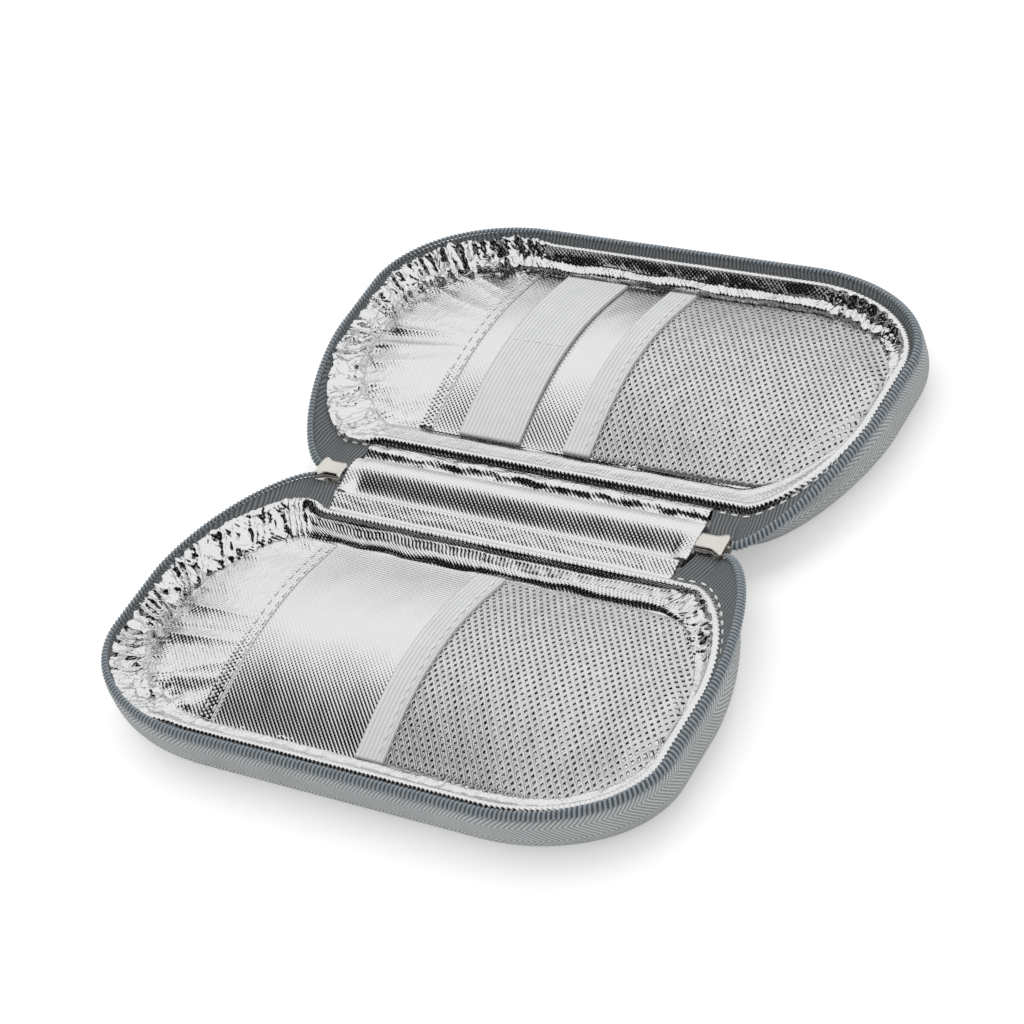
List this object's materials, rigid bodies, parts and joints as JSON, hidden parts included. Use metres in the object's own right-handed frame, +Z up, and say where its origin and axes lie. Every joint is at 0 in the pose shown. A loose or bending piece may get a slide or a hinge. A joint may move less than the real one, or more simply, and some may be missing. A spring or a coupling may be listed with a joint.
{
  "type": "insulin cooling case",
  "caption": "Open clamshell zip case with foil-lined insulated trays, foil and mesh pockets, an elastic band, a folding spine and zip sliders with pull tabs.",
  "frame": {"origin": "bottom centre of the open case, on the surface that it lies on, under the middle of the spine", "axes": "+X along the spine, +Y across the spine from the lower tray to the upper tray, +Z up out of the open trays"},
  "size_m": [0.202, 0.228, 0.0197],
  "materials": {
    "twill": "light gray woven twill, laminated on the moulded shell",
    "zip_tape": "gray woven zip tape",
    "coil": "blue gray nylon coil, satin",
    "foil": "bright aluminised foil with a fine embossed weave",
    "net": "fine silver gray mesh",
    "elastic": "pale gray ribbed elastic",
    "nickel": "polished nickel plating",
    "foam": "closed-cell foam",
    "gel": "pale blue gel in a soft film"
  },
  "bodies": {
    "lower_tray": {"lower_shell": "twill", "lower_insulation": "foam", "lower_liner": "foil", "lower_zip_coil": "coil", "lower_zip_tape": "zip_tape", "lower_hinge_strip": "foil", "lower_gel_pack": "gel", "lower_foil_pocket": "foil", "lower_mesh_pocket": "net", "lower_mesh_binding": "elastic"},
    "spine": {"spine_cover": "twill", "spine_padding": "foam", "spine_panel": "foil", "right_slider": "nickel", "right_zip_end": "coil", "left_slider": "nickel", "left_zip_end": "coil"},
    "upper_tray": {"upper_shell": "twill", "upper_insulation": "foam", "upper_liner": "foil", "upper_zip_coil": "coil", "upper_zip_tape": "zip_tape", "upper_hinge_strip": "foil", "upper_gel_pack": "gel", "upper_foil_pocket": "foil", "upper_mesh_pocket": "net", "upper_mesh_binding": "elastic", "upper_elastic_band": "elastic"},
    "right_tab": {"right_pull_tab": "nickel"},
    "left_tab": {"left_pull_tab": "nickel"}
  },
  "joints": [
    {"name": "spine_fold", "type": "hinge", "parent": "lower_tray", "child": "spine", "pos_m": [0, -0.008, 0.012], "axis": [1, 0, 0], "range_deg": [0, 90]},
    {"name": "lid_fold", "type": "hinge", "parent": "spine", "child": "upper_tray", "pos_m": [0, 0.008, 0.012], "axis": [1, 0, 0], "range_deg": [0, 90]},
    {"name": "right_tab_swing", "type": "hinge", "parent": "spine", "child": "right_tab", "pos_m": [0.0696, 0, 0.0087], "axis": [0, -1, 0], "range_deg": [-21, 155]},
    {"name": "left_tab_swing", "type": "hinge", "parent": "spine", "child": "left_tab", "pos_m": [-0.0696, 0, 0.0087], "axis": [0, 1, 0], "range_deg": [-21, 155]}
  ],
  "couplings": [
    {"joint": "spine_fold", "follows": "lid_fold", "ratio": 1}
  ]
}
